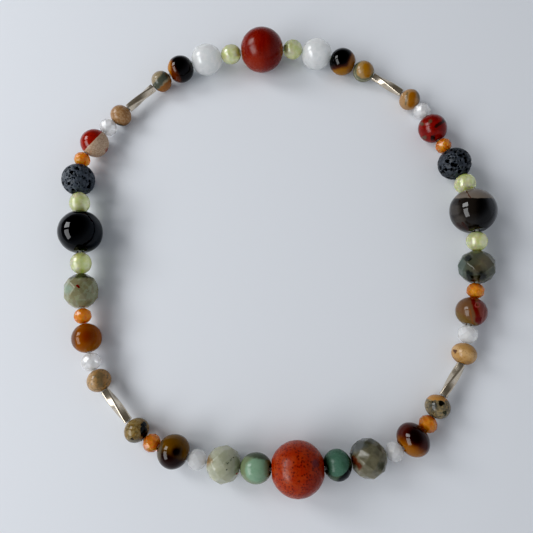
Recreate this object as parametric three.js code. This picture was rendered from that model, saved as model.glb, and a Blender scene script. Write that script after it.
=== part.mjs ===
import * as THREE from "three";

// A stretch bracelet: 52 drilled pieces on one elastic, lying on a surface.
// Millimetres, +Z up, the surface at z = 0 and the middle of the bracelet at the origin.

// ---- Driving dimensions ----
const BORE_RADIUS = 0.45;
const ELASTIC_RADIUS = 0.28;
const ELASTIC_SIDES = 8;
const TUBE_CHAMFER = 0.1;
// Clear space left between neighbouring pieces.
const GAP = 0.2;
// How fast the elastic may fall away beside a tall bead: drop over length.
const THREAD_FALL = 0.3;
// Where the first bead's middle sits, in millimetres clockwise from the top of the loop.
const START = -1.6;

// The middle line of the loop, which isn't a true circle: its radius at sixteen
// bearings, anticlockwise from +X. The rows run clockwise from the top.
const LOOP = [
  { bearing: 90, radius: 36.0 },
  { bearing: 67.5, radius: 36.7 },
  { bearing: 45, radius: 36.3 },
  { bearing: 22.5, radius: 34.2 },
  { bearing: 0, radius: 33.9 },
  { bearing: -22.5, radius: 34.6 },
  { bearing: -45, radius: 37.7 },
  { bearing: -67.5, radius: 38.2 },
  { bearing: -90, radius: 36.1 },
  { bearing: -112.5, radius: 37.2 },
  { bearing: -135, radius: 36.7 },
  { bearing: -157.5, radius: 33.3 },
  { bearing: 180, radius: 31.8 },
  { bearing: 157.5, radius: 36.1 },
  { bearing: 135, radius: 36.2 },
  { bearing: 112.5, radius: 36.8 },
];

// Every kind of piece: its width across the thread and its length along it.
const KINDS = {
  red_jasper: { shape: "round", width: 7.8, length: 7.55, sides: 18, rings: 8 },
  coral: { shape: "round", width: 8.0, length: 7.55, sides: 18, rings: 8 },
  agate: { shape: "round", width: 7.3, length: 6.85, sides: 18, rings: 8 },
  onyx: { shape: "round", width: 7.2, length: 6.95, sides: 18, rings: 8 },
  lava: { shape: "round", width: 5.6, length: 5.05, sides: 16, rings: 8 },
  crystal: { shape: "round", width: 5.5, length: 5.25, sides: 16, rings: 8 },
  jasper: { shape: "round", width: 4.9, length: 4.75, sides: 14, rings: 6 },
  tiger_eye: { shape: "round", width: 4.8, length: 4.45, sides: 14, rings: 6 },
  carnelian: { shape: "round", width: 4.7, length: 4.45, sides: 14, rings: 6 },
  green_stone: { shape: "round", width: 4.5, length: 4.25, sides: 14, rings: 6 },
  picture_jasper: { shape: "round", width: 3.8, length: 3.45, sides: 12, rings: 6 },
  prehnite: { shape: "round", width: 3.5, length: 3.35, sides: 12, rings: 6 },
  smoky: { shape: "cut", width: 5.3, length: 5.25 },
  clear: { shape: "cut", width: 2.9, length: 2.7 },
  amber: { shape: "cut", width: 2.6, length: 2.4 },
  tube: { shape: "tube", width: 1.5, length: 6.05, sides: 16 },
};

// What each kind is made of.
const FINISHES = {
  red_jasper: { color: 0x7a1f12, roughness: 0.2, metalness: 0 },
  coral: { color: 0xc04a32, roughness: 0.3, metalness: 0 },
  agate: { color: 0x1f1a18, roughness: 0.1, metalness: 0 },
  onyx: { color: 0x0a0a0c, roughness: 0.05, metalness: 0 },
  lava: { color: 0x3a3a3c, roughness: 0.85, metalness: 0 },
  crystal: { color: 0xc9cfd2, roughness: 0.05, metalness: 0 },
  jasper: { color: 0x8a2f20, roughness: 0.2, metalness: 0 },
  tiger_eye: { color: 0x5a3c14, roughness: 0.1, metalness: 0 },
  carnelian: { color: 0x7c3a1c, roughness: 0.1, metalness: 0 },
  green_stone: { color: 0x3f7a63, roughness: 0.15, metalness: 0 },
  picture_jasper: { color: 0xa5865a, roughness: 0.25, metalness: 0 },
  prehnite: { color: 0xa9bb86, roughness: 0.1, metalness: 0 },
  smoky: { color: 0x5d5e52, roughness: 0.1, metalness: 0 },
  clear: { color: 0xd8dcdf, roughness: 0.05, metalness: 0 },
  amber: { color: 0xc4762a, roughness: 0.1, metalness: 0 },
  tube: { color: 0xb8b2a4, roughness: 0.25, metalness: 0.9 },
  elastic: { color: 0xd9d9d6, roughness: 0.5, metalness: 0 },
};

// The strand in its order, clockwise from the top as seen from above.
// out: millimetres that a piece sits outside the middle line, or inside it if negative.
// wider, longer: millimetres on top of its kind's sizes. roll: degrees a cut bead is turned.
// ease: millimetres taken off its ends where the thread bends sharply, to clear its neighbour.
const STRAND = [
  { name: "red_jasper", kind: "red_jasper", out: -0.5 },
  { name: "prehnite_1", kind: "prehnite", out: 0.7, longer: 0.2, ease: 0.15 },
  { name: "rock_crystal_1", kind: "crystal", out: 0.4, longer: -0.1 },
  { name: "tiger_eye_1", kind: "tiger_eye", out: -0.4 },
  { name: "picture_jasper_1", kind: "picture_jasper", longer: 0.3 },
  { name: "metal_tube_1", kind: "tube", out: -0.4 },
  { name: "picture_jasper_2", kind: "picture_jasper", out: 0.5 },
  { name: "clear_facet_1", kind: "clear", ease: 0.15 },
  { name: "brecciated_jasper", kind: "jasper", out: -0.3, longer: 0.1 },
  { name: "amber_facet_1", kind: "amber", out: -0.5 },
  { name: "lava_1", kind: "lava", out: 0.3, longer: -0.1 },
  { name: "prehnite_2", kind: "prehnite", out: 0.3, wider: 0.2, longer: -0.2 },
  { name: "banded_agate", kind: "agate", wider: 0.2 },
  { name: "prehnite_3", kind: "prehnite", out: -0.2, longer: -0.2 },
  { name: "smoky_facet_1", kind: "smoky", longer: -0.1, roll: 20 },
  { name: "amber_facet_2", kind: "amber", roll: 15 },
  { name: "brown_agate", kind: "carnelian", wider: 0.2, longer: -0.2 },
  { name: "clear_facet_2", kind: "clear", out: -0.5, roll: 20 },
  { name: "picture_jasper_3", kind: "picture_jasper", out: 0.8, wider: 0.1, longer: -0.2 },
  { name: "metal_tube_2", kind: "tube", out: -0.8, longer: -0.3 },
  { name: "picture_jasper_4", kind: "picture_jasper", out: -0.6, wider: 0.1 },
  { name: "amber_facet_3", kind: "amber", out: 0.5 },
  { name: "tiger_eye_2", kind: "tiger_eye", out: 0.1, wider: 0.3, longer: -0.5 },
  { name: "clear_facet_3", kind: "clear", out: 0.9, longer: -0.3, ease: 0.15 },
  { name: "smoky_facet_2", kind: "smoky", out: -0.9, longer: 0.1, roll: 10 },
  { name: "green_stone_1", kind: "green_stone", out: -0.4, wider: 0.2, longer: -0.2 },
  { name: "red_coral", kind: "coral" },
  { name: "green_stone_2", kind: "green_stone", out: 0.4, longer: 0.2 },
  { name: "smoky_facet_3", kind: "smoky", out: -0.2, longer: -0.2 },
  { name: "clear_facet_4", kind: "clear", roll: 12 },
  { name: "tiger_eye_3", kind: "tiger_eye", out: -0.3, wider: 0.3 },
  { name: "amber_facet_4", kind: "amber", out: 0.5, roll: 22.5, ease: 0.25 },
  { name: "picture_jasper_5", kind: "picture_jasper", out: 0.6, wider: 0.1 },
  { name: "metal_tube_3", kind: "tube", out: -0.9 },
  { name: "picture_jasper_6", kind: "picture_jasper", out: 0.4 },
  { name: "clear_facet_5", kind: "clear", roll: 22.5, ease: 0.1 },
  { name: "carnelian", kind: "carnelian", longer: 0.1 },
  { name: "amber_facet_5", kind: "amber" },
  { name: "smoky_facet_4", kind: "smoky", wider: -0.1, longer: 0.2, roll: 22.5 },
  { name: "prehnite_4", kind: "prehnite", longer: 0.1 },
  { name: "black_onyx", kind: "onyx", longer: -0.1 },
  { name: "prehnite_5", kind: "prehnite", out: -0.5, longer: 0.3 },
  { name: "lava_2", kind: "lava", out: 0.3, longer: 0.1 },
  { name: "amber_facet_6", kind: "amber", out: 0.4, roll: 10, ease: 0.3 },
  { name: "two_tone_jasper", kind: "jasper", out: -0.4 },
  { name: "clear_facet_6", kind: "clear" },
  { name: "picture_jasper_7", kind: "picture_jasper" },
  { name: "metal_tube_4", kind: "tube" },
  { name: "picture_jasper_8", kind: "picture_jasper", out: 0.3 },
  { name: "tiger_eye_4", kind: "tiger_eye", longer: 0.1 },
  { name: "rock_crystal_2", kind: "crystal", out: 0.4, longer: 0.1 },
  { name: "prehnite_6", kind: "prehnite", out: -0.5, longer: 0.3, ease: 0.1 },
];

// The cut of the faceted beads: rings of corners from the widest belt to the flat end,
// as parts of the half length and of the belt's corner radius. The belt carries eight
// diamonds, with kites and triangles above and below them.
const CUT_SIDES = 8;
const FLAT_TO_CORNER = Math.cos(Math.PI / CUT_SIDES);
const CUT_RINGS = [
  { along: 0, out: 1, turned: false },
  { along: 0.41, out: FLAT_TO_CORNER, turned: true },
  { along: 0.73, out: 0.739, turned: false },
  { along: 1, out: 0.38, turned: false },
];

// ---- Where each piece sits on the thread ----

const pieces = STRAND.map(({ name, kind, out = 0, wider = 0, longer = 0, roll = 0, ease = 0 }) => {
  const { shape, sides, rings } = KINDS[kind];
  const width = KINDS[kind].width + wider;
  const pitch = KINDS[kind].length + longer + GAP;
  const tip = THREE.MathUtils.degToRad(roll);
  const corner = width / 2 / FLAT_TO_CORNER;
  // A cut bead with no roll lies on one of the belt's diamonds.
  const rest = shape === "cut" ? corner * Math.cos(Math.PI / CUT_SIDES - tip) : width / 2;
  return { name, kind, shape, width, pitch, sides, rings, out, tip, corner, rest, ease };
});
const next = (i) => (i + 1) % pieces.length;
const previous = (i) => (i + pieces.length - 1) % pieces.length;

// The thread bends only at the joints between pieces. Joint i comes just before piece i.
const starts = [];
let strandLength = 0;
for (const piece of pieces) {
  starts.push(strandLength);
  strandLength += piece.pitch;
}

// The lowest height of a joint that keeps every piece on or above the surface.
function jointHeight(at) {
  const heights = pieces.map((piece, i) => {
    const fromMiddle = Math.abs(at - starts[i] - piece.pitch / 2);
    const shortWay = Math.min(fromMiddle, strandLength - fromMiddle);
    const beyondEnd = Math.max(shortWay - piece.pitch / 2, 0);
    return piece.rest - THREAD_FALL * beyondEnd;
  });
  return Math.max(...heights);
}
const heights = starts.map(jointHeight);

// The length of each piece as seen from above, once its slope is taken off.
const runs = pieces.map((piece, i) => {
  const climb = heights[next(i)] - heights[i];
  return Math.sqrt(piece.pitch ** 2 - climb ** 2);
});

// A closed curve through the LOOP radii, scaled so that the strand just fills it.
function middleLine(length) {
  const knots = LOOP.map(({ bearing, radius }) => {
    const angle = THREE.MathUtils.degToRad(bearing);
    return new THREE.Vector3(Math.cos(angle), Math.sin(angle), 0).multiplyScalar(radius);
  });
  const curve = new THREE.CatmullRomCurve3(knots, true);
  curve.arcLengthDivisions = 1600;
  const scale = length / curve.getLength();
  for (const knot of knots) {
    knot.multiplyScalar(scale);
  }
  curve.updateArcLengths();
  return curve;
}

// The joints, each set out from the middle line by half of both its neighbours' share.
function threadJoints() {
  const around = runs.reduce((sum, run) => sum + run, 0);
  const line = middleLine(around);
  let along = START - runs[0] / 2;
  return pieces.map((piece, i) => {
    const part = (along / around + 1) % 1;
    const outward = new THREE.Vector3(0, 0, 1).cross(line.getTangentAt(part));
    const joint = line.getPointAt(part);
    joint.addScaledVector(outward, (piece.out + pieces[previous(i)].out) / 2);
    joint.z = heights[i];
    along += runs[i];
    return joint;
  });
}
const joints = threadJoints();

// The elastic's route: straight through every piece, from joint to joint.
class ThreadRoute extends THREE.Curve {
  getPointAt(part) {
    const place = part * joints.length;
    const i = Math.floor(place) % joints.length;
    return joints[i].clone().lerp(joints[next(i)], place - Math.floor(place));
  }

  getTangentAt(part) {
    const step = 0.5 / joints.length;
    const ahead = this.getPointAt((part + step) % 1);
    const behind = this.getPointAt((part - step + 1) % 1);
    return ahead.sub(behind).normalize();
  }
}

// ---- Shapes, made along +Y with +Z up ----

// A ball or an oval, cut off where the bore comes out.
function roundBead({ width, sides, rings }, length) {
  const edge = Math.asin(BORE_RADIUS / (width / 2));
  const profile = [];
  for (let i = 0; i <= rings; i += 1) {
    const angle = edge + ((Math.PI - 2 * edge) * i) / rings;
    const y = (-length / 2) * (Math.cos(angle) / Math.cos(edge));
    profile.push(new THREE.Vector2((width / 2) * Math.sin(angle), y));
  }
  profile.push(profile[0].clone());
  return new THREE.LatheGeometry(profile, sides);
}

// A straight metal tube with broken edges.
function tubeBead({ width, sides }, length) {
  const radius = width / 2;
  const profile = [
    new THREE.Vector2(BORE_RADIUS, -length / 2),
    new THREE.Vector2(radius - TUBE_CHAMFER, -length / 2),
    new THREE.Vector2(radius, TUBE_CHAMFER - length / 2),
    new THREE.Vector2(radius, length / 2 - TUBE_CHAMFER),
    new THREE.Vector2(radius - TUBE_CHAMFER, length / 2),
    new THREE.Vector2(BORE_RADIUS, length / 2),
  ];
  profile.push(profile[0].clone());
  return new THREE.LatheGeometry(profile, sides);
}

// A cut bead: rings of corners from one end to the other and back through the bore,
// each stitched to the one before it by flat facets.
function cutBead({ corner, tip }, length) {
  const lower = CUT_RINGS.slice(1).reverse().map((ring) => ({ ...ring, along: -ring.along }));
  const outside = [...lower, ...CUT_RINGS].map(({ along, out, turned }) => {
    return { y: (along * length) / 2, radius: out * corner, turned };
  });
  const bore = [
    { y: length / 2, radius: BORE_RADIUS, turned: false },
    { y: -length / 2, radius: BORE_RADIUS, turned: false },
  ];
  const rows = [...outside, ...bore];
  const step = (2 * Math.PI) / CUT_SIDES;
  const positions = [];
  const faces = [];
  rows.forEach(({ y, radius, turned }, row) => {
    for (let side = 0; side < CUT_SIDES; side += 1) {
      const angle = (side + (turned ? 1 : 0.5)) * step + tip;
      positions.push(radius * Math.sin(angle), y, radius * Math.cos(angle));
      const here = row * CUT_SIDES;
      const above = ((row + 1) % rows.length) * CUT_SIDES;
      const onward = (side + 1) % CUT_SIDES;
      // The diagonal between two rings follows the one that is turned.
      if (turned) {
        faces.push(here + side, here + onward, above + onward);
        faces.push(here + side, above + onward, above + side);
      } else {
        faces.push(here + side, here + onward, above + side);
        faces.push(here + onward, above + onward, above + side);
      }
    }
  });
  const geometry = new THREE.BufferGeometry();
  geometry.setAttribute("position", new THREE.Float32BufferAttribute(positions, 3));
  geometry.setIndex(faces);
  return geometry;
}

// ---- Assembly ----

const SHAPES = { round: roundBead, tube: tubeBead, cut: cutBead };

function namedMesh(name, geometry, finish) {
  const material = new THREE.MeshStandardMaterial({ ...finish, flatShading: true });
  const mesh = new THREE.Mesh(geometry, material);
  mesh.name = name;
  return mesh;
}

// A piece on the stretch of thread from one joint to the next.
function threadedPiece(piece, from, to) {
  const along = to.clone().sub(from);
  const geometry = SHAPES[piece.shape](piece, along.length() - GAP - piece.ease);
  const mesh = namedMesh(piece.name, geometry, FINISHES[piece.kind]);
  const side = along.clone().cross(new THREE.Vector3(0, 0, 1)).normalize();
  const up = side.clone().cross(along).normalize();
  mesh.quaternion.setFromRotationMatrix(new THREE.Matrix4().makeBasis(side, along.normalize(), up));
  mesh.position.lerpVectors(from, to, 0.5);
  return mesh;
}

const strand = new THREE.Group();
pieces.forEach((piece, i) => {
  strand.add(threadedPiece(piece, joints[i], joints[next(i)]));
});
const elastic = new THREE.TubeGeometry(
  new ThreadRoute(), joints.length, ELASTIC_RADIUS, ELASTIC_SIDES, true,
);
strand.add(namedMesh("elastic_cord", elastic, FINISHES.elastic));

// The middle of the whole bracelet goes to the origin.
const middle = new THREE.Box3().setFromObject(strand, true).getCenter(new THREE.Vector3());
strand.position.set(-middle.x, -middle.y, 0);

const bracelet = new THREE.Group();
bracelet.add(strand);

export default bracelet;
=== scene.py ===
import math

import bpy
from mathutils import Color, Matrix, Vector


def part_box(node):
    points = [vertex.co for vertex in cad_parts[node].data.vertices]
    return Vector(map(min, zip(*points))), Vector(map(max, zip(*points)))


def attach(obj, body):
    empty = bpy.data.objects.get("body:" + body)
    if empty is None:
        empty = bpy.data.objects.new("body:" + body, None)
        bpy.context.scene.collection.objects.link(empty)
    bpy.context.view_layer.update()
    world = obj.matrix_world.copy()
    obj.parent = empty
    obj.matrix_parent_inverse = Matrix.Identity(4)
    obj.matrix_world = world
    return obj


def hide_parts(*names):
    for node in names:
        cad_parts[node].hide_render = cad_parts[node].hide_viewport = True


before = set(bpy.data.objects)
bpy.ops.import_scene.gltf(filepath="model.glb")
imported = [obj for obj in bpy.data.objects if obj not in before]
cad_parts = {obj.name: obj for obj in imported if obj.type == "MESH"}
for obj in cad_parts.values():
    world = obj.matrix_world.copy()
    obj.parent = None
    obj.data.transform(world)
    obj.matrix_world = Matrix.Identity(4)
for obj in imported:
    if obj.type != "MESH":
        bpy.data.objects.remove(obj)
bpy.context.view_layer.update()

# ---- Camera ----
# It stands over the near side of the bracelet and looks down through the loop, tipped
# a little towards the far side.
bpy.ops.object.camera_add(location=(-0.0003, -0.0266, 0.0827))
camera = bpy.context.object
camera.rotation_euler = (math.radians(15.2), math.radians(0.84), math.radians(-0.25))
camera.data.sensor_width = 36
camera.data.lens = 34.1
camera.data.clip_start = 0.001
bpy.context.scene.camera = camera

# The picture is developed plainly, with the deepest shades pressed down as on film.
SHADE_CURVE = {0.008: 0.0005, 0.02: 0.007, 0.05: 0.032, 0.1: 0.085, 0.2: 0.193, 0.6: 0.6}
ALL_CHANNELS = 3
develop = bpy.context.scene.view_settings
develop.view_transform = "Standard"
develop.use_curve_mapping = True
for scene_light, film_light in SHADE_CURVE.items():
    develop.curve_mapping.curves[ALL_CHANNELS].points.new(scene_light, film_light)
develop.curve_mapping.update()

# ---- Elastic ----
# One round stretch cord of clear plastic with a milky cast, knotted into a ring inside a
# bead. It runs straight through every piece and bends only where two pieces meet, so the
# rings of its solid stand there.
MM = 0.001
ELASTIC_RADIUS = 0.28
MILKY_PATCHES_PER_METRE = 900
RING_REACH = 0.7 * MM


def thread_joints():
    """Where the pieces meet on the thread: the middle of each ring of the elastic's solid."""
    rings = []
    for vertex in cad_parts["elastic_cord"].data.vertices:
        for ring in rings:
            if (ring[0] - vertex.co).length < RING_REACH:
                ring.append(vertex.co)
                break
        else:
            rings.append([vertex.co])
    return [(Vector(map(min, *ring)) + Vector(map(max, *ring))) / 2 for ring in rings]


def clockwise(point):
    """How far round the loop a point is, from the top, in radians."""
    return math.atan2(point.x, point.y) % math.tau


joints = sorted(thread_joints(), key=clockwise)


def tint(colour):
    """A colour written as 0xRRGGBB, as a shader takes it."""
    channels = Color([(colour >> shift & 255) / 255 for shift in (16, 8, 0)])
    return (*channels.from_srgb_to_scene_linear(), 1)


def plain_material(name, colour, **finish):
    """A shader of one colour. Its other sockets are given by name, with _ for a space."""
    material = bpy.data.materials.new(name)
    material.use_nodes = True
    shader = material.node_tree.nodes["Principled BSDF"]
    shader.inputs["Base Color"].default_value = tint(colour)
    for socket, value in finish.items():
        shader.inputs[socket.replace("_", " ")].default_value = value
    return material


def finish(piece, node, slot, material):
    """Gives a piece its material and its place on the one rigid body, and hides its CAD node's part."""
    piece.data.materials.clear()
    piece.data.materials.append(material)
    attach(piece, "root")
    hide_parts(node)


bpy.ops.object.select_all(action="DESELECT")
bpy.ops.curve.primitive_bezier_circle_add()
elastic = bpy.context.object
elastic.name = "elastic"
elastic.data.splines.clear()
ring = elastic.data.splines.new("POLY")
ring.points.add(len(joints) - 1)
ring.use_cyclic_u = True
for point, joint in zip(ring.points, joints):
    point.co = (*joint, 1)
elastic.data.bevel_depth = ELASTIC_RADIUS * MM
elastic.data.bevel_resolution = 3
bpy.ops.object.convert(target="MESH")
bpy.ops.object.shade_smooth()
clear_stretch = plain_material("clear stretch cord", 0xE6E6E2, Roughness=0.3, Transmission_Weight=0.6)
cord_nodes = clear_stretch.node_tree.nodes
cord_links = clear_stretch.node_tree.links
cord_place = cord_nodes.new("ShaderNodeTexCoord")
milkiness = cord_nodes.new("ShaderNodeTexNoise")
milkiness.inputs["Scale"].default_value = MILKY_PATCHES_PER_METRE
milk_tones = cord_nodes.new("ShaderNodeValToRGB")
milk_tones.color_ramp.elements[0].color = tint(0xC9CAC4)
milk_tones.color_ramp.elements[1].color = tint(0xF2F2EE)
cord_links.new(cord_place.outputs["Object"], milkiness.inputs["Vector"])
cord_links.new(milkiness.outputs["Fac"], milk_tones.inputs["Fac"])
cord_links.new(milk_tones.outputs["Color"], cord_nodes["Principled BSDF"].inputs["Base Color"])
finish(elastic, "elastic_cord", "elastic", clear_stretch)

# ---- Red jasper ----
# The second largest bead, a deep brick red stone tumbled to a soft polish, with darker
# bands across its thread hole. It closes the loop at the far side.

# In millimetres: the bore's radius, the gap from one bead to the next, the eased edge of a
# hole, and how near counts as touching.
BORE = 0.45
STRUNG_GAP = 0.2
HOLE_EDGE = 0.08
HAIR = 0.001
# By what share a round bead is longer before its ends are ground flat.
GROUND_OFF = 0.09
LEAST_GROUND_OFF = 0.04
# How far a bead is worn out of round, and how long the worn places are.
WEAR = 0.12
WEAR_SIZE = 3.0
SHARP_CORNER = math.radians(60)
SMOOTH_UNDER = math.radians(40)


def thread_through(node):
    """A piece's middle, and the stretch of thread through it from one end to the other."""
    low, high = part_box(node)
    middle = (low + high) / 2
    start, end = sorted(joints, key=lambda joint: (joint - middle).length)[:2]
    if start.cross(end).z > 0:
        start, end = end, start
    return middle, end - start


def string_on(piece, node):
    """Moves a piece modelled in millimetres, bore along Z, to its place on the thread."""
    middle, along = thread_through(node)
    turn = along.to_track_quat("Z", "Y").to_matrix().to_4x4()
    piece.matrix_world = Matrix.Translation(middle) @ turn @ Matrix.Scale(MM, 4) @ piece.matrix_basis
    bpy.ops.object.select_all(action="DESELECT")
    piece.select_set(True)
    bpy.context.view_layer.objects.active = piece
    bpy.ops.object.transform_apply(location=True, rotation=True, scale=True)


def strung_length(node):
    """How long a piece is between its neighbours, in millimetres."""
    return thread_through(node)[1].length / MM - STRUNG_GAP


def bead_width(node):
    low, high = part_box(node)
    return (high.z - low.z) / MM


def apply(piece, kind, **settings):
    """Adds a modifier with its settings and applies it."""
    modifier = piece.modifiers.new(kind.lower(), kind)
    for key, value in settings.items():
        setattr(modifier, key, value)
    bpy.ops.object.modifier_apply(modifier=modifier.name)


def uneven_texture(kind, size, **settings):
    """A noise that a mesh is pushed about by."""
    texture = bpy.data.textures.new("uneven", kind)
    texture.noise_scale = size
    for key, value in settings.items():
        setattr(texture, key, value)
    return texture


def pick(piece, parts, wanted):
    """Selects the faces or edges of a mesh that a test picks, and goes into edit mode."""
    mesh = piece.data
    bpy.ops.object.mode_set(mode="OBJECT")
    for element in (*mesh.vertices, *mesh.edges, *mesh.polygons):
        element.select = False
    for element in parts:
        element.select = wanted(element)
    bpy.ops.object.mode_set(mode="EDIT")
    bpy.ops.mesh.select_mode(type="FACE" if parts == mesh.polygons else "EDGE")


def ball(node, rows=64):
    """A round bead in millimetres, sized for a node, ground flat at both ends and bored."""
    half_length = strung_length(node) / 2
    radius = bead_width(node) / 2
    bpy.ops.object.select_all(action="DESELECT")
    bpy.ops.mesh.primitive_uv_sphere_add(segments=rows, ring_count=rows, radius=radius)
    bead = bpy.context.object
    least = half_length * (1 + LEAST_GROUND_OFF) / radius
    bead.scale.z = max(least, min(1, half_length * (1 + GROUND_OFF) / radius))
    bpy.ops.object.transform_apply(scale=True)
    for end in (-1, 1):
        bpy.ops.object.mode_set(mode="EDIT")
        bpy.ops.mesh.select_all(action="SELECT")
        level = (0, 0, end * half_length)
        bpy.ops.mesh.bisect(plane_co=level, plane_no=(0, 0, end), use_fill=True, clear_outer=True)
        bpy.ops.object.mode_set(mode="OBJECT")
    pick(bead, bead.data.polygons, lambda face: len(face.vertices) > 4)
    rim = max(vertex.co.xy.length for vertex in bead.data.vertices if vertex.co.z > half_length - HAIR)
    bpy.ops.mesh.inset(thickness=rim - BORE)
    bpy.ops.mesh.delete(type="FACE")
    bpy.ops.mesh.select_mode(type="EDGE")
    bpy.ops.mesh.select_non_manifold()
    bpy.ops.mesh.bridge_edge_loops()
    bpy.ops.object.mode_set(mode="OBJECT")
    apply(bead, "BEVEL", width=HOLE_EDGE, segments=2, limit_method="ANGLE", angle_limit=SHARP_CORNER)
    apply(bead, "DISPLACE", texture=uneven_texture("CLOUDS", WEAR_SIZE), strength=WEAR, mid_level=0.5)
    bpy.ops.object.shade_smooth_by_angle(angle=SMOOTH_UNDER)
    bead["node"] = node
    return bead


def string_beads(bead, slot, materials, fits=None):
    """Strings a copy of a modelled bead for each node, sized to its place, and clears the model
    away. Fits turn a bead on the thread, in degrees, and make it wider and longer. Beads at
    the thread's bends are a little shorter, so that their ends clear their neighbours'."""
    like = bead["node"]
    for node, material in materials.items():
        bpy.ops.object.select_all(action="DESELECT")
        bead.select_set(True)
        bpy.context.view_layer.objects.active = bead
        bpy.ops.object.duplicate()
        copy = bpy.context.object
        copy.name = node + "_bead"
        roll, wider, longer = (fits or {}).get(node, (0, 1, 1))
        across = wider * bead_width(node) / bead_width(like)
        copy.scale = (across, across, longer * strung_length(node) / strung_length(like))
        copy.rotation_euler.z = math.radians(roll)
        string_on(copy, node)
        finish(copy, node, slot, material)
    bpy.data.objects.remove(bead)


# The marks of the beads are laid out as they show from this point over the loop.
OUTLOOK = Vector((0, -0.027, 0.083))


class Stone:
    """A stone's material in the making. Its places are given in millimetres to the right of
    a bead's middle and above it, as seen from the outlook, and what is drawn goes right
    through the bead."""

    EDGE_NICKS = 0.7
    # The sockets of a colour mix: what lies under, what is laid over it, and what comes out.
    UNDER, OVER, MIXED = 6, 7, 2

    def __init__(self, name, colour, bead=None, ragged=0.0, **finish):
        self.material = plain_material(name.replace("_", " "), colour, **finish)
        self.tree = self.material.node_tree
        self.shader = self.tree.nodes["Principled BSDF"]
        self.colour = tint(colour)
        middle = Vector() if bead is None else sum(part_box(bead), Vector()) / 2
        out = (OUTLOOK - middle).normalized()
        up = out.cross(Vector((1, 0, 0))).normalized()
        facing = Matrix((up.cross(out), up, out)).transposed().to_euler()
        inwards = {"vector_type": "TEXTURE"}
        place = self.add("Mapping", settings=inwards, Location=middle, Rotation=facing, Scale=(MM,) * 3)
        self.tree.links.new(self.add("TexCoord").outputs["Object"], place.inputs["Vector"])
        self.place = place.outputs["Vector"]
        plan = self.shifted(ragged) if ragged else self.place
        self.plan = self.sum("MULTIPLY", plan, (1, 1, 0), kind="VectorMath")

    def plug(self, node, key, value):
        """Sets an input to a number, or links another node's output to it."""
        if isinstance(value, bpy.types.NodeSocket):
            self.tree.links.new(value, node.inputs[key])
        else:
            node.inputs[key].default_value = value

    def add(self, kind, *numbered, settings=(), **named):
        """A node with its settings, and with its inputs given in order or by name."""
        node = self.tree.nodes.new("ShaderNode" + kind)
        for key, value in dict(settings).items():
            setattr(node, key, value)
        for key, value in (*enumerate(numbered), *named.items()):
            self.plug(node, key if isinstance(key, int) else key.replace("_", " "), value)
        return node

    def sum(self, operation, *values, kind="Math"):
        return self.add(kind, *values, settings={"operation": operation}).outputs[0]

    def shifted(self, reach):
        """The place, pushed about at random by up to reach, so that patches get ragged edges."""
        nicks = self.add("TexNoise", Vector=self.place, Scale=1 / self.EDGE_NICKS, Detail=3)
        push = self.sum("SUBTRACT", nicks.outputs["Color"], (0.5, 0.5, 0.5), kind="VectorMath")
        push = self.sum("MULTIPLY", push, (3 * reach,) * 3, kind="VectorMath")
        return self.sum("ADD", self.place, push, kind="VectorMath")

    def step(self, value, low, high):
        """A value turned into a share: 0 at low, 1 at high, easing in and out between them."""
        smooth = {"interpolation_type": "SMOOTHSTEP"}
        return self.add("MapRange", value, low, high, settings=smooth).outputs["Result"]

    def clouds(self, size, low=0.45, high=0.55, stretch=(1, 1, 1)):
        """Cloudy patches of about that size. Stretch packs them closer along an axis."""
        place = self.sum("MULTIPLY", self.place, stretch, kind="VectorMath")
        noise = self.add("TexNoise", Vector=place, Scale=1 / size, Detail=4)
        return self.step(noise.outputs["Fac"], low, high)

    def specks(self, spacing, reach, soft=0.1):
        """Round specks, one near each point of a jittered net of that spacing."""
        net = self.add("TexVoronoi", Vector=self.place, Scale=1 / spacing)
        return self.step(net.outputs["Distance"], (reach + soft) / spacing, reach / spacing)

    def near(self, point, reach, soft=0.3):
        """1 within reach of a point, fading to 0 over the soft distance beyond it."""
        away = self.add("VectorMath", self.plan, (*point, 0), settings={"operation": "DISTANCE"})
        return self.step(away.outputs["Value"], reach + soft, reach)

    def seam(self, start, end, reach, soft=0.15):
        """1 within reach of a straight line between two points, fading over the soft distance."""
        start, end = Vector((*start, 0)), Vector((*end, 0))
        along = (end - start).normalized()
        away = self.sum("SUBTRACT", self.plan, start, kind="VectorMath")
        run = self.add("VectorMath", away, along, settings={"operation": "DOT_PRODUCT"})
        run = self.sum("MAXIMUM", run.outputs["Value"], 0.0)
        run = self.sum("MINIMUM", run, (end - start).length)
        foot = self.add("VectorMath", along, Scale=run, settings={"operation": "SCALE"}).outputs[0]
        off = self.add("VectorMath", away, foot, settings={"operation": "DISTANCE"})
        return self.step(off.outputs["Value"], reach + soft, reach)

    def ring(self, point, radius, width, soft=0.1):
        """1 in a round line about a point."""
        away = self.add("VectorMath", self.plan, (*point, 0), settings={"operation": "DISTANCE"})
        off = self.sum("ABSOLUTE", self.sum("SUBTRACT", away.outputs["Value"], radius))
        return self.step(off, width / 2 + soft, width / 2)

    def beyond(self, direction, level, soft=0.3):
        """1 on the side of the bead that is past that level in a direction."""
        unit = Vector((*direction, 0)).normalized()
        along = self.add("VectorMath", self.plan, unit, settings={"operation": "DOT_PRODUCT"})
        return self.step(along.outputs["Value"], level - soft / 2, level + soft / 2)

    def band(self, direction, level, width, soft=0.2):
        """1 in a flat band across a direction."""
        unit = Vector((*direction, 0)).normalized()
        along = self.add("VectorMath", self.plan, unit, settings={"operation": "DOT_PRODUCT"})
        off = self.sum("ABSOLUTE", self.sum("SUBTRACT", along.outputs["Value"], level))
        return self.step(off, width / 2 + soft, width / 2)

    def both(self, first, second):
        """Two shares multiplied."""
        return self.sum("MULTIPLY", first, second)

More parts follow.
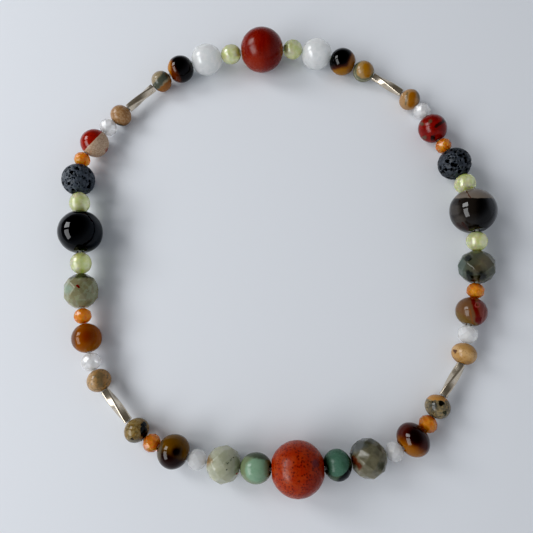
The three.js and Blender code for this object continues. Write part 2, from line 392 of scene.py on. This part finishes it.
    def paint(self, colour, share, strength=1.0):
        """Lays a colour over what is there, where the share is 1."""
        if strength != 1.0:
            share = self.both(share, strength)
        mix = self.add("Mix", share, settings={"data_type": "RGBA"})
        self.plug(mix, self.UNDER, self.colour)
        self.plug(mix, self.OVER, tint(colour))
        self.colour = mix.outputs[self.MIXED]
        self.plug(self.shader, "Base Color", self.colour)

    def polish(self, roughness, wave=0.01, size=1.2):
        """A hand polish: the shine is a little uneven and the surface has faint waves."""
        smear = self.clouds(0.6, 0.3, 0.7)
        dull = self.add("MapRange", smear, 0.0, 1.0, 0.7 * roughness, 1.4 * roughness)
        self.plug(self.shader, "Roughness", dull.outputs["Result"])
        swell = self.add("TexNoise", Vector=self.place, Scale=1 / size, Detail=2)
        bump = self.add("Bump", Strength=1.0, Distance=wave * MM, Height=swell.outputs["Fac"])
        self.plug(self.shader, "Normal", bump.outputs["Normal"])


brick = Stone("red_jasper", 0x781B06, "red_jasper", ragged=0.3, IOR=1.37)
brick.paint(0x641206, brick.clouds(1.0, stretch=(1, 0.2, 0.2)), 0.5)
brick.paint(0x8A3018, brick.near((-1.56, -2.57), 0.89, 1.79), 0.7)
brick.paint(0x5C120A, brick.band((1, 0.1), 2.2, 0.7, 1.2), 0.5)
brick.polish(0.24)
string_beads(ball("red_jasper", rows=80), "red_jasper", {"red_jasper": brick.material})

# ---- Prehnite ----
# Six small round beads of a translucent yellow-green stone, clouded inside and tumbled to a
# soft polish. They stand on both sides of the larger beads and let light through.
leaf = Stone(
    "prehnite",
    0xF4F8CC,
    Transmission_Weight=0.58,
    IOR=1.75,
    Specular_IOR_Level=0.8,
    Subsurface_Weight=1.0,
    Subsurface_Scale=0.002,
    Subsurface_Radius=(0.8, 1.0, 0.4),
)
leaf.paint(0xE0EA9C, leaf.clouds(0.9, 0.4, 0.6), 0.8)
leaf.polish(0.14, wave=0.0)
leaves = {f"prehnite_{n}": leaf.material for n in range(1, 7)}
leaf_fits = {"prehnite_1": (0, 1, 0.95), "prehnite_6": (0, 1, 0.98)}
string_beads(ball("prehnite_1", rows=48), "prehnite", leaves, leaf_fits)

# ---- Rock crystal ----
# Two round beads of clear quartz with a milky haze and paler clouds inside, drilled and
# polished to a bright shine. One stands beyond each of the prehnites beside the red jasper.
ice = Stone(
    "rock_crystal",
    0xF0F4F1,
    Alpha=0.62,
    IOR=1.6,
    Specular_IOR_Level=1.0,
    Subsurface_Weight=1.0,
    Subsurface_Scale=0.004,
    Subsurface_Radius=(1.0, 1.0, 1.0),
)
ice.paint(0xFEFFFA, ice.clouds(1.2), 0.8)
ice.polish(0.1, wave=0.0)
string_beads(ball("rock_crystal_1"), "crystal", {f"rock_crystal_{n}": ice.material for n in (1, 2)})

# ---- Tiger eye ----
# Four round beads of banded brown stone, drilled and highly polished: black at the heart and
# gold or olive to one side, with a red-brown seam between. The bands run in soft silky
# shades, not in patches.
eyes = {}
eye = Stone("tiger_eye_1", 0x8E6014, "tiger_eye_1", ragged=0.12, IOR=1.36)
eye.paint(0x7C5426, eye.beyond((1, -0.05), 1.01, 0.56))
eye.paint(0x3A1606, eye.both(eye.beyond((-0.2, 1), -1.07, 0.79), eye.beyond((-1, 0.35), -1.12, 0.56)))
eye.paint(0x060403, eye.both(eye.beyond((-0.2, 1), -0.51, 0.79), eye.beyond((-1, 0.35), -0.84, 0.56)))
eye.polish(0.09)
eyes["tiger_eye_1"] = eye.material

eye = Stone("tiger_eye_2", 0x84500A, "tiger_eye_2", ragged=0.15, IOR=1.38)
eye.paint(0x42160A, eye.beyond((0.5, 0.85), -0.8, 1.5))
eye.paint(0x1C0604, eye.near((0.6, 0.6), 0.7, 1.2))
eye.paint(0x3A221E, eye.beyond((1, 0.3), 1.74, 0.46))
eye.polish(0.09)
eyes["tiger_eye_2"] = eye.material

eye = Stone("tiger_eye_3", 0x624408, "tiger_eye_3", ragged=0.15, IOR=1.36)
eye.paint(0x200C06, eye.beyond((-0.4, -1), 0.37, 1.28))
eye.paint(0x100502, eye.near((0.46, 0), 0.27, 0.82))
eye.paint(0x4E4434, eye.beyond((-1, 0.1), 1.74, 0.46))
eye.polish(0.09)
eyes["tiger_eye_3"] = eye.material

eye = Stone("tiger_eye_4", 0x0A0504, "tiger_eye_4", ragged=0.12, IOR=1.36)
eye.paint(0x5A2A0A, eye.beyond((-1, -0.4), 0.9, 1.01))
eye.paint(0xA86C1C, eye.beyond((-1, 0.05), 1.8, 0.67))
eye.polish(0.09)
eyes["tiger_eye_4"] = eye.material

EYE_FITS = {"tiger_eye_2": (0, 1.04, 1.03), "tiger_eye_4": (0, 1, 0.96)}
string_beads(ball("tiger_eye_1"), "tiger_eye", eyes, EYE_FITS)

# The second is chipped hollow at one end, and the clear bead beside it sits in the hollow.
HOLLOW_RADIUS = 1.78
bpy.ops.object.select_all(action="DESELECT")
hollow = sum(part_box("clear_facet_3"), Vector()) / 2
bpy.ops.mesh.primitive_uv_sphere_add(radius=HOLLOW_RADIUS * MM, location=hollow)
burr = bpy.context.object
bpy.ops.object.select_all(action="DESELECT")
hollowed = bpy.data.objects["tiger_eye_2_bead"]
hollowed.select_set(True)
bpy.context.view_layer.objects.active = hollowed
apply(hollowed, "BOOLEAN", operation="DIFFERENCE", solver="EXACT", object=burr)
bpy.data.objects.remove(burr)
bpy.ops.object.shade_smooth_by_angle(angle=SMOOTH_UNDER)

# ---- Picture jasper ----
# Eight small tan beads of a fine mottled stone, drilled and polished, one at each end of
# every tube. No two are marked alike: some have olive or ochre bands, some black patches.


def polished_sand(sand):
    """The grain and speckle that the eight share."""
    sand.paint(0x5A4630, sand.specks(0.35, 0.04), 0.35)
    sand.polish(0.15)
    return sand.material


sands = {}
sand = Stone("picture_jasper_1", 0x686A54, "picture_jasper_1", ragged=0.25, IOR=1.4)
sand.paint(0x94907A, sand.ring((0.25, 0.4), 2.0, 0.06, 0.08), 0.8)
sand.paint(0x9C7C50, sand.near((0.25, 0.35), 1.4, 0.25))
sand.paint(0x966614, sand.seam((0.45, 0.9), (0.7, -0.5), 0.35, 0.55))
sands["picture_jasper_1"] = polished_sand(sand)

sand = Stone("picture_jasper_2", 0xA07C56, "picture_jasper_2", ragged=0.12, IOR=1.38)
sand.paint(0x6E6048, sand.seam((-0.5, 1.1), (-0.66, -0.8), 0.05, 0.25), 0.9)
sand.paint(0x8E5A0C, sand.seam((0.39, 0.75), (0.33, -0.75), 0.4, 0.4))
sand.paint(0x6E6454, sand.beyond((1, 0.35), 1.38, 0.55))
sands["picture_jasper_2"] = polished_sand(sand)

sand = Stone("picture_jasper_3", 0xAE8654, "picture_jasper_3", ragged=0.3, IOR=1.38)
sand.paint(0xC6A274, sand.band((0.5, 1), 0.19, 0.38, 0.48), 0.7)
sand.paint(0x8E6A3E, sand.beyond((-0.3, -1), 0.96, 0.48))
sand.paint(0x5C4232, sand.near((-1.34, 0.38), 0.12, 0.24))
sands["picture_jasper_3"] = polished_sand(sand)

sand = Stone("picture_jasper_4", 0x6A6250, "picture_jasper_4", ragged=0.35, IOR=1.38)
sand.paint(0x98845E, sand.clouds(0.5), 0.6)
sand.paint(0x24261F, sand.clouds(0.45, 0.56, 0.64), 0.85)
sand.paint(0xB07E46, sand.beyond((0.1, 1), 0.98, 0.14))
sand.paint(0x343A3C, sand.near((-0.6, 0.1), 0.3, 0.7), 0.75)
sand.paint(0x14160F, sand.near((0.47, 0.47), 0.33, 0.14))
sand.paint(0x1C1E16, sand.near((-0.7, 0.7), 0.14, 0.14))
sand.paint(0x30321E, sand.near((0.94, -0.94), 0.19, 0.28))
sands["picture_jasper_4"] = polished_sand(sand)

sand = Stone("picture_jasper_5", 0x7C6236, "picture_jasper_5", ragged=0.3, IOR=1.38)
sand.paint(0x92805A, sand.clouds(0.6), 0.7)
sand.paint(0x4C4834, sand.clouds(0.4, 0.52, 0.64), 0.6)
sand.paint(0x66645C, sand.beyond((0.1, -1), 1.21, 0.37), 0.8)
sand.paint(0x161A18, sand.seam((0.93, 0.84), (1.12, -0.65), 0.33, 0.14))
sand.paint(0x14110C, sand.near((-0.56, -1.17), 0.14, 0.11))
sands["picture_jasper_5"] = polished_sand(sand)

sand = Stone("picture_jasper_6", 0xA07C52, "picture_jasper_6", ragged=0.3, IOR=1.38)
sand.paint(0xB4936C, sand.beyond((-1, -0.3), 0.67, 0.57), 0.8)
sand.paint(0x6A5E46, sand.seam((0, 0.96), (0.24, -0.57), 0.29, 0.48), 0.7)
sand.paint(0x686048, sand.clouds(0.35, 0.5, 0.66), 0.75)
sands["picture_jasper_6"] = polished_sand(sand)

sand = Stone("picture_jasper_7", 0x98724E, "picture_jasper_7", ragged=0.25, IOR=1.38)
sand.paint(0xAE8C6A, sand.clouds(0.5), 0.7)
sand.paint(0x7A5A38, sand.beyond((0.1, -1), 1.33, 0.55), 0.8)
sand.paint(0x44422E, sand.beyond((-0.35, -1), 1.5, 0.3), 0.85)
sand.paint(0x36382A, sand.near((-1.55, -0.94), 0.13, 0.22))
sands["picture_jasper_7"] = polished_sand(sand)

sand = Stone("picture_jasper_8", 0x94866C, "picture_jasper_8", ragged=0.2, IOR=1.38)
sand.paint(0x8C5C2E, sand.beyond((0.55, -0.83), 0.62, 0.39))
sand.paint(0x50544A, sand.seam((0.9, 1.25), (-1.1, -0.85), 0.4, 0.45))
sands["picture_jasper_8"] = polished_sand(sand)

SAND_FITS = {
    "picture_jasper_2": (0, 1, 0.98),
    "picture_jasper_5": (0, 1, 0.96),
    "picture_jasper_6": (0, 1, 0.99),
}
string_beads(ball("picture_jasper_1", rows=48), "picture_jasper", sands, SAND_FITS)

# ---- Metal tubes ----
# Four thin silver-coloured tubes of square section with eased corners, twisted over a quarter
# turn in their length, so that the light runs along them in lenses.
TUBE_FLATS = 1.24
TUBE_CORNER = 0.28
TUBE_TWIST = 100
TUBE_STEPS = 48
TUBE_ROLLS = {1: 67.5, 2: 67.5, 3: 55, 4: 22.5}
BIT_LENGTH = 20
silver = Stone("warm_silver", 0xD6CAB8, Metallic=1.0, Roughness=0.22)
silver.paint(0xC4B6A0, silver.clouds(1.5), 0.5)


def drill(piece):
    """Bores a piece through along Z."""
    bpy.ops.object.select_all(action="DESELECT")
    bpy.ops.mesh.primitive_cylinder_add(vertices=32, radius=BORE, depth=BIT_LENGTH)
    bit = bpy.context.object
    bpy.ops.object.select_all(action="DESELECT")
    piece.select_set(True)
    bpy.context.view_layer.objects.active = piece
    apply(piece, "BOOLEAN", operation="DIFFERENCE", solver="EXACT", object=bit)
    bpy.data.objects.remove(bit)


def runs_lengthways(tube, edge):
    one, other = (tube.data.vertices[index].co for index in edge.vertices)
    return abs(one.z - other.z) > TUBE_FLATS


bpy.ops.object.select_all(action="DESELECT")
bpy.ops.mesh.primitive_cube_add(size=1, scale=(TUBE_FLATS, TUBE_FLATS, strung_length("metal_tube_1")))
tube = bpy.context.object
tube["node"] = "metal_tube_1"
pick(tube, tube.data.edges, lambda edge: runs_lengthways(tube, edge))
bpy.ops.mesh.bevel(offset=TUBE_CORNER, segments=6)
pick(tube, tube.data.edges, lambda edge: runs_lengthways(tube, edge))
bpy.ops.mesh.subdivide(number_cuts=TUBE_STEPS)
bpy.ops.object.mode_set(mode="OBJECT")
apply(tube, "SIMPLE_DEFORM", deform_method="TWIST", deform_axis="Z", angle=math.radians(TUBE_TWIST))
drill(tube)
bpy.ops.object.shade_smooth_by_angle(angle=SMOOTH_UNDER)
silvers = {f"metal_tube_{n}": silver.material for n in TUBE_ROLLS}
tube_fits = {f"metal_tube_{n}": (roll, 1, 1) for n, roll in TUBE_ROLLS.items()}
string_beads(tube, "metal_tube", silvers, tube_fits)

# ---- Cut stones ----
# Faceted beads cut by machine: eight kite facets round the belt, then rings of facets
# closing towards each end. Four large smoky ones, six small clear and six small amber.
CUT_SIDES = 8
HALF_SIDE = 180 / CUT_SIDES
FACET_BEND = math.radians(8)
FLAT_UNDER = math.radians(1)
CUT_WIDTHS = {"smoky_facet_1": 5.3, "clear_facet_1": 2.9, "amber_facet_1": 2.6}
# Each ring of corners: its place from the belt to the end, its radius, and 1 where it is
# turned by half a side against the belt.
CUT_RINGS = ((0, 1, 0), (0.41, 0.924, 1), (0.73, 0.739, 0), (1, 0.38, 0))


def cut_bead(node, facet_edge):
    """A faceted bead in millimetres: rings of corners wrapped in flat facets, then bored."""
    half_length = strung_length(node) / 2
    corner_radius = CUT_WIDTHS[node] / 2 / math.cos(math.radians(HALF_SIDE))
    bpy.ops.object.select_all(action="DESELECT")
    bpy.ops.object.add(type="MESH")
    bead = bpy.context.object
    bead["node"] = node
    bpy.ops.object.mode_set(mode="EDIT")
    for along, across, turned in CUT_RINGS:
        for end in (-1, 1):
            bpy.ops.mesh.primitive_circle_add(
                vertices=CUT_SIDES,
                radius=across * corner_radius,
                location=(0, 0, end * along * half_length),
                rotation=(0, 0, math.radians((1 - turned) * HALF_SIDE)),
            )
    bpy.ops.mesh.select_all(action="SELECT")
    bpy.ops.mesh.remove_doubles(threshold=HAIR)
    bpy.ops.mesh.convex_hull(join_triangles=False)
    bpy.ops.mesh.dissolve_limited(angle_limit=FLAT_UNDER)
    bpy.ops.object.mode_set(mode="OBJECT")
    apply(bead, "BEVEL", width=facet_edge, segments=2, limit_method="ANGLE", angle_limit=FACET_BEND)
    drill(bead)
    bpy.ops.object.shade_smooth_by_angle(angle=FACET_BEND)
    return bead


SMOKE_FINISH = {
    "Subsurface_Weight": 1.0,
    "Subsurface_Scale": 0.005,
    "Subsurface_Radius": (1.0, 1.0, 0.8),
}
smokes = {}
smoke = Stone("smoky_facet_1", 0x4C4D40, "smoky_facet_1", ragged=0.3, **SMOKE_FINISH)
smoke.paint(0x4A544E, smoke.beyond((-1, 0), 1.8, 1.0))
smoke.paint(0x5C5646, smoke.near((1.3, 0.8), 0.3, 1.6))
smoke.paint(0x10160F, smoke.near((-1.29, 1.39), 0.25, 0.4))
smoke.paint(0x121711, smoke.seam((-1.19, -0.99), (-0.89, -2.28), 0.3, 0.4))
smoke.paint(0x483A24, smoke.near((0.0, -0.3), 0.2, 0.9), 0.6)
smoke.paint(0x16160B, smoke.near((0.75, -1.35), 0.35, 0.65))
smoke.polish(0.09)
smokes["smoky_facet_1"] = smoke.material

smoke = Stone("smoky_facet_2", 0x625F50, "smoky_facet_2", ragged=0.35, IOR=1.38, **SMOKE_FINISH)
smoke.paint(0x767160, smoke.clouds(1.0, 0.4, 0.6), 0.7)
smoke.paint(0x545654, smoke.beyond((-0.5, 1), 1.54, 0.63))
smoke.paint(0x5A3220, smoke.seam((-2.17, -0.09), (-1.27, -1.18), 0.18, 0.36))
smoke.paint(0x38361F, smoke.near((1.9, -1.1), 0.1, 0.9))
smoke.paint(0x42402E, smoke.near((0.3, 2.2), 0.1, 0.9))
smoke.polish(0.09)
smokes["smoky_facet_2"] = smoke.material

smoke = Stone("smoky_facet_3", 0x989A88, "smoky_facet_3", ragged=0.2, **SMOKE_FINISH)
smoke.paint(0xA6A694, smoke.clouds(1.4), 0.7)
smoke.paint(0x846A48, smoke.near((-2.5, 0.55), 0.35, 0.7))
dots = smoke.clouds(0.22, 0.48, 0.54)
smoke.paint(0x20201A, smoke.both(smoke.seam((0.45, 0.18), (1.54, 1.09), 0.07, 0.09), dots), 0.9)
smoke.paint(0x20201A, smoke.near((0.45, -0.72), 0.06, 0.11))
smoke.paint(0x7A1E12, smoke.near((1.99, -1.27), 0.11, 0.14))
smoke.polish(0.09)
smokes["smoky_facet_3"] = smoke.material

smoke = Stone("smoky_facet_4", 0x86886E, "smoky_facet_4", ragged=0.3, **SMOKE_FINISH)
smoke.paint(0x7A7258, smoke.clouds(0.8), 0.7)
smoke.paint(0x8A988C, smoke.near((-2.1, 0.4), 0.2, 1.0))
smoke.paint(0x3E3E2A, smoke.beyond((0, 1), 2.08, 0.6))
smoke.paint(0x6E0C06, smoke.seam((-0.6, 0.84), (-0.2, 0.74), 0.1, 0.1))
smoke.polish(0.09)
smokes["smoky_facet_4"] = smoke.material

SMOKE_FITS = {
    "smoky_facet_1": (27.5, 1.05, 1),
    "smoky_facet_2": (39, 1.06, 0.98),
    "smoky_facet_3": (29.5, 1.05, 0.97),
    "smoky_facet_4": (22.5, 1, 1),
}
string_beads(cut_bead("smoky_facet_1", 0.1), "smoky_stone", smokes, SMOKE_FITS)

water = Stone(
    "clear_cut_stone",
    0xFCFDFC,
    Alpha=0.55,
    Transmission_Weight=0.1,
    IOR=1.65,
    Specular_IOR_Level=1.0,
    Subsurface_Weight=1.0,
    Subsurface_Scale=0.003,
    Subsurface_Radius=(1.0, 1.0, 1.0),
)
water.paint(0xFFFFFF, water.clouds(0.8), 0.8)
water.polish(0.08, wave=0.0)
CLEAR_ROLLS = {1: 33, 2: 22.5, 3: 11, 4: 0, 5: 11, 6: 11}
waters = {f"clear_facet_{n}": water.material for n in CLEAR_ROLLS}
water_fits = {f"clear_facet_{n}": (roll, 1, 1) for n, roll in CLEAR_ROLLS.items()}
string_beads(cut_bead("clear_facet_1", 0.03), "clear_stone", waters, water_fits)

AMBER_FINISH = {
    "Transmission_Weight": 0.45,
    "IOR": 1.5,
    "Subsurface_Weight": 1.0,
    "Subsurface_Scale": 0.0015,
    "Subsurface_Radius": (1.0, 0.5, 0.1),
}
# How far each is turned on the thread, its colour and that of its clouds. Two are paler.
AMBERS = {
    1: (33, 0xCC8046, 0xD88228),
    2: (22.5, 0xCC8042, 0xD88224),
    3: (0, 0xC47A3C, 0xD07A20),
    4: (22.5, 0xCC8042, 0xD88224),
    5: (11, 0xF09A48, 0xF8983A),
    6: (11, 0xF8A04C, 0xFC9C3C),
}
honeys = {}
honey_fits = {}
for number, (roll, colour, cloudy) in AMBERS.items():
    node = f"amber_facet_{number}"
    honey = Stone(node, colour, node, ragged=0.3, **AMBER_FINISH)
    # Painted light: each is brighter in its middle, where light shines through the stone, and the darker
    # colour left at its rim is painted shade.
    honey.paint(0xF4A840, honey.near((0.15, -0.1), 0.6, 0.7))
    honey.paint(cloudy, honey.clouds(0.5, 0.4, 0.6), 0.6)
    honey.polish(0.12, wave=0.0)
    honeys[node] = honey.material
    honey_fits[node] = (roll, 1, 1)
string_beads(cut_bead("amber_facet_1", 0.03), "amber_stone", honeys, honey_fits)

# ---- Brecciated jasper ----
# A round bead of deep red stone, broken up and healed long ago: grey-green patches lie in
# it, and a dark healed crack. It is drilled and tumbled to a low shine.
crimson = Stone("brecciated_jasper", 0x7A150B, "brecciated_jasper", ragged=0.25, IOR=1.4)
crimson.paint(0x5E0C08, crimson.clouds(0.8), 0.6)
for place, reach in (((-0.43, 1.19), 0.22), ((-1.78, 0.81), 0.22), ((-1.24, -1.46), 0.24)):
    crimson.paint(0x564C3C, crimson.near(place, reach, 0.3), 0.8)
crimson.paint(0x280E0A, crimson.near((0.16, -1.62), 0.32, 0.27))
crimson.paint(0x2C1610, crimson.seam((0.54, 0.38), (1.73, 1.29), 0.16, 0.22), 0.9)
crimson.polish(0.2)
string_beads(ball("brecciated_jasper"), "jasper", {"brecciated_jasper": crimson.material})

# ---- Lava ----
# Two round beads of porous black lava, drilled and left unpolished, so that the gas bubbles
# in the stone are open pits.

# How far apart the large bubbles lie, and the small ones, and how deep each kind is.
BUBBLES = {0.9: 0.62, 0.45: 0.3}
PIT_FLOOR = 0.14
PIT_BRIM = 0.4
GRIT = 0.08
GRIT_SIZE = 0.25
LAVAS = {"lava_1": (0x343940, 0x1E2226), "lava_2": (0x484E56, 0x2A2F35)}
cinders = {}
for node, (crust, soot) in LAVAS.items():
    cinder = Stone(node, crust, node)
    cinder.paint(soot, cinder.clouds(0.5), 0.7)
    pit = cinder.add("Attribute", settings={"attribute_name": "pit_depth"}).outputs["Fac"]
    # Painted shade: the pits are darkened by how deep they are, as shade falls in them.
    cinder.paint(0x060708, cinder.step(pit, 0.08, 0.3))
    cinder.polish(0.4, wave=0.05, size=0.2)
    cinders[node] = cinder.material

cinder_ball = ball("lava_1", rows=160)
skin = [vertex.co.copy() for vertex in cinder_ball.data.vertices]
for spacing, depth in BUBBLES.items():
    pits = uneven_texture("VORONOI", spacing, use_color_ramp=True)
    pits.color_ramp.elements[0].position = PIT_FLOOR
    pits.color_ramp.elements[0].color = (0, 0, 0, 1)
    pits.color_ramp.elements[1].position = PIT_BRIM
    pits.color_ramp.elements[1].color = (1, 1, 1, 1)
    apply(cinder_ball, "DISPLACE", texture=pits, strength=depth, mid_level=1.0)
pit_depth = cinder_ball.data.attributes.new("pit_depth", "FLOAT", "POINT")
for vertex, before, depth in zip(cinder_ball.data.vertices, skin, pit_depth.data):
    depth.value = (vertex.co - before).length
apply(cinder_ball, "DISPLACE", texture=uneven_texture("CLOUDS", GRIT_SIZE), strength=GRIT, mid_level=0.8)
bpy.ops.object.shade_smooth()
string_beads(cinder_ball, "lava", cinders, {"lava_2": (140, 1, 0.97)})

# ---- Banded agate ----
# A large round bead of layered stone, drilled and highly polished: black in the middle, with
# a straight-edged grey-brown layer at one side and a thin vein across it.
bark = Stone("banded_agate", 0x0C0A09, "banded_agate", ragged=0.12, IOR=1.42)
bark.paint(0x24201D, bark.beyond((-1, 0), -0.6, 1.5))
bark.paint(0x3C3834, bark.near((-2.78, 0.2), 0.56, 0.61))
bark.paint(0x3A3530, bark.near((-2.0, -1.5), 0.5, 0.8))
bark.paint(0x2A2A2C, bark.beyond((1, 0.35), 2.5, 0.9))
bark.paint(0x2A150C, bark.near((-2.23, -2.63), 0.3, 0.71))
bark.paint(0x2E160C, bark.seam((-1.52, -1.92), (-0.61, -3.24), 0.08, 0.25))
bark.paint(0x6E655C, bark.beyond((0.02, 1), 2.08, 0.16))
bark.paint(0x4A2C20, bark.seam((-1.11, 3.24), (-0.51, 2.13), 0.03, 0.09))
bark.polish(0.07)
string_beads(ball("banded_agate", rows=80), "agate", {"banded_agate": bark.material})

# ---- Brown agate ----
# A round bead of brown stone with a blood-red band running down it and a small pale ring
# beside the band, drilled and polished.
umber = Stone("brown_agate", 0x684C36, "brown_agate", ragged=0.12, IOR=1.34)
umber.paint(0x66502C, umber.beyond((-0.6, -0.8), 1.17, 0.78))
umber.paint(0x744038, umber.beyond((1, 0.1), 1.07, 0.49))
umber.paint(0x62110A, umber.band((1, 0.25), 0.73, 0.29, 0.34), 0.95)
umber.paint(0x5C0804, umber.near((0.97, -1.27), 0.34, 0.39))
umber.paint(0x7E4A22, umber.seam((-0.2, 0.4), (0.1, -1.9), 0.03, 0.2), 0.6)
umber.paint(0x8E4C46, umber.ring((0.88, 1.07), 0.34, 0.06), 0.8)
umber.paint(0x8A5650, umber.band((1, -0.2), 1.7, 0.05, 0.1), 0.7)
umber.polish(0.1)
string_beads(ball("brown_agate"), "carnelian", {"brown_agate": umber.material})

# ---- Green stones ----
# Two round beads of dyed green stone, one on each side of the coral: a dark one with a teal
# face, and a pale sea green one with a softer edge. Both are tumbled to a satin polish.
teal = Stone("green_stone_1", 0x050807, "green_stone_1", ragged=0.08, IOR=1.31)
teal.paint(0x465442, teal.beyond((-1, 1), -1.3, 0.5))
teal.paint(0x4E6C5C, teal.near((-0.25, 0.42), 1.85, 0.15))
teal.paint(0x42604E, teal.both(teal.near((-0.25, 0.42), 1.75, 0.2), teal.clouds(1.6)), 0.6)
teal.polish(0.25)
sea = Stone("green_stone_2", 0x6E7A5C, "green_stone_2", ragged=0.15, IOR=1.36)
sea.paint(0x7E9C82, sea.near((0.18, -0.22), 1.45, 0.55))
sea.paint(0x6E9076, sea.both(sea.near((0.18, -0.22), 1.3, 0.45), sea.clouds(1.2)), 0.4)
sea.paint(0x4C5444, sea.beyond((0.15, 1), 1.34, 0.45))
sea.polish(0.12)
GREENS = {"green_stone_1": teal.material, "green_stone_2": sea.material}
GREEN_FITS = {"green_stone_1": (0, 1, 0.94), "green_stone_2": (0, 1, 0.98)}
string_beads(ball("green_stone_1"), "green_stone", GREENS, GREEN_FITS)

# ---- Red coral ----
# The largest bead, at the near side: orange-red coral with a fine dark speckle in its pores,
# turned round, drilled and given a soft wax polish.
coral = Stone("red_coral", 0x942F0A, "red_coral", ragged=0.2, IOR=1.36)
coral.paint(0x9E3E16, coral.clouds(0.9), 0.7)
coral.paint(0x581408, coral.specks(0.42, 0.1, 0.07), 0.9)
coral.paint(0x621A0E, coral.clouds(0.22, 0.56, 0.64), 0.75)
coral.paint(0x7A1E06, coral.beyond((0.75, -0.65), 2.4, 1.6), 0.7)
coral.paint(0x5E2630, coral.near((2.48, 0.8), 0.27, 0.53), 0.8)
coral.polish(0.3, wave=0.02, size=0.5)
string_beads(ball("red_coral", rows=96), "coral", {"red_coral": coral.material})

# ---- Carnelian ----
# A round bead of amber-brown stone, darker at its middle, drilled and polished. Its golden
# side away from the light is painted light shining through the stone.
ember = Stone("carnelian", 0x864A04, "carnelian", ragged=0.2, IOR=1.33)
ember.paint(0x743004, ember.near((0.1, 0.3), 0.1, 1.4), 0.8)
ember.paint(0x6A4632, ember.beyond((-1, 0), 1.56, 0.58))
# Painted light: the golden side away from the window, where light glows through the stone.
ember.paint(0x8C5A14, ember.beyond((0.6, -1), 1.36, 0.78), 0.7)
ember.polish(0.1)
string_beads(ball("carnelian"), "carnelian", {"carnelian": ember.material})

# ---- Black onyx ----
# A large round bead of plain black stone, drilled and polished like a mirror, so that the
# window shows in it.
night = Stone("black_onyx", 0x030304, "black_onyx", IOR=1.36)
# Painted reflection: a faint bluish patch on the right side stands in for the dim bluish room.
night.paint(0x0A1016, night.beyond((1, 0), 1.62, 1.62))
night.polish(0.05, wave=0.015)
string_beads(ball("black_onyx", rows=80), "onyx", {"black_onyx": night.material})

# ---- Two-tone jasper ----
# A round bead of fine stone cut across a seam, so that it is brick red on one side of a
# straight line and tan on the other. It is drilled and polished.
TAN_SIDE = (0.69, -0.72)
brick_and_sand = Stone("two_tone_jasper", 0x94220F, "two_tone_jasper", ragged=0.06, IOR=1.42)
brick_and_sand.paint(0x741A10, brick_and_sand.clouds(0.8), 0.6)
brick_and_sand.paint(0xBEA48C, brick_and_sand.beyond(TAN_SIDE, -0.4, 0.09))
well_in = brick_and_sand.beyond(TAN_SIDE, -0.22, 0.22)
brick_and_sand.paint(0x9E8268, brick_and_sand.both(well_in, brick_and_sand.clouds(0.25)), 0.6)
brick_and_sand.paint(0x8E5042, brick_and_sand.near((2.16, -1.3), 0.27, 0.43))
brick_and_sand.polish(0.12)
string_beads(ball("two_tone_jasper"), "jasper", {"two_tone_jasper": brick_and_sand.material})

# ---- Table and light ----
# A plain pale table, and a wide window low on the left with a bar across it. The rest of the
# room is dim overhead and brighter near the ground, most of all at the near right.
bpy.ops.object.select_all(action="DESELECT")
bpy.ops.mesh.primitive_plane_add(size=4)
table = bpy.context.object
table.name = "table"
table.data.materials.append(plain_material("pale table", 0xE5E8ED, Roughness=0.7))

WINDOW = Vector((-0.375, -0.066, 0.285))
DAYLIGHT = (0.97, 0.985, 1.0)
# Place along Y, width, height and radiance of each pane. The bar is the gap between them.
PANES = {
    "far_pane": (0.253, 0.205, 0.22, 8.0),
    "near_pane": (-0.12, 0.42, 0.22, 5.4),
}
for name, (along, width, height, radiance) in PANES.items():
    bpy.ops.object.light_add(type="AREA")
    light = bpy.context.object
    light.name = name
    light.data.shape = "RECTANGLE"
    light.data.size = width
    light.data.size_y = height
    # A pane's power follows from its brightness and its area.
    light.data.energy = radiance * math.pi * width * height
    light.data.color = DAYLIGHT
    back = WINDOW.normalized()
    side = Vector((0, 1, 0))
    up = back.cross(side).normalized()
    turn = Matrix((up.cross(back), up, back)).transposed().to_4x4()
    light.matrix_world = Matrix.Translation(WINDOW + along * side) @ turn

NEAR_THE_GROUND = (0.58, 0.61, 0.66, 1)
OVERHEAD = (0.13, 0.13, 0.13, 1)
DIMMEST_TOWARDS = Vector((-0.45, 0.35, 1))
room = bpy.data.worlds.new("room")
bpy.context.scene.world = room
room.use_nodes = True
air = room.node_tree
direction = air.nodes.new("ShaderNodeTexCoord")
height = air.nodes.new("ShaderNodeVectorMath")
height.operation = "DOT_PRODUCT"
height.inputs[1].default_value = DIMMEST_TOWARDS.normalized()
ramp = air.nodes.new("ShaderNodeValToRGB")
air.links.new(direction.outputs["Generated"], height.inputs[0])
air.links.new(height.outputs["Value"], ramp.inputs["Fac"])
air.links.new(ramp.outputs["Color"], air.nodes["Background"].inputs["Color"])
ramp.color_ramp.elements[0].color = NEAR_THE_GROUND
ramp.color_ramp.elements[1].color = OVERHEAD
ramp.color_ramp.elements[1].position = 0.75
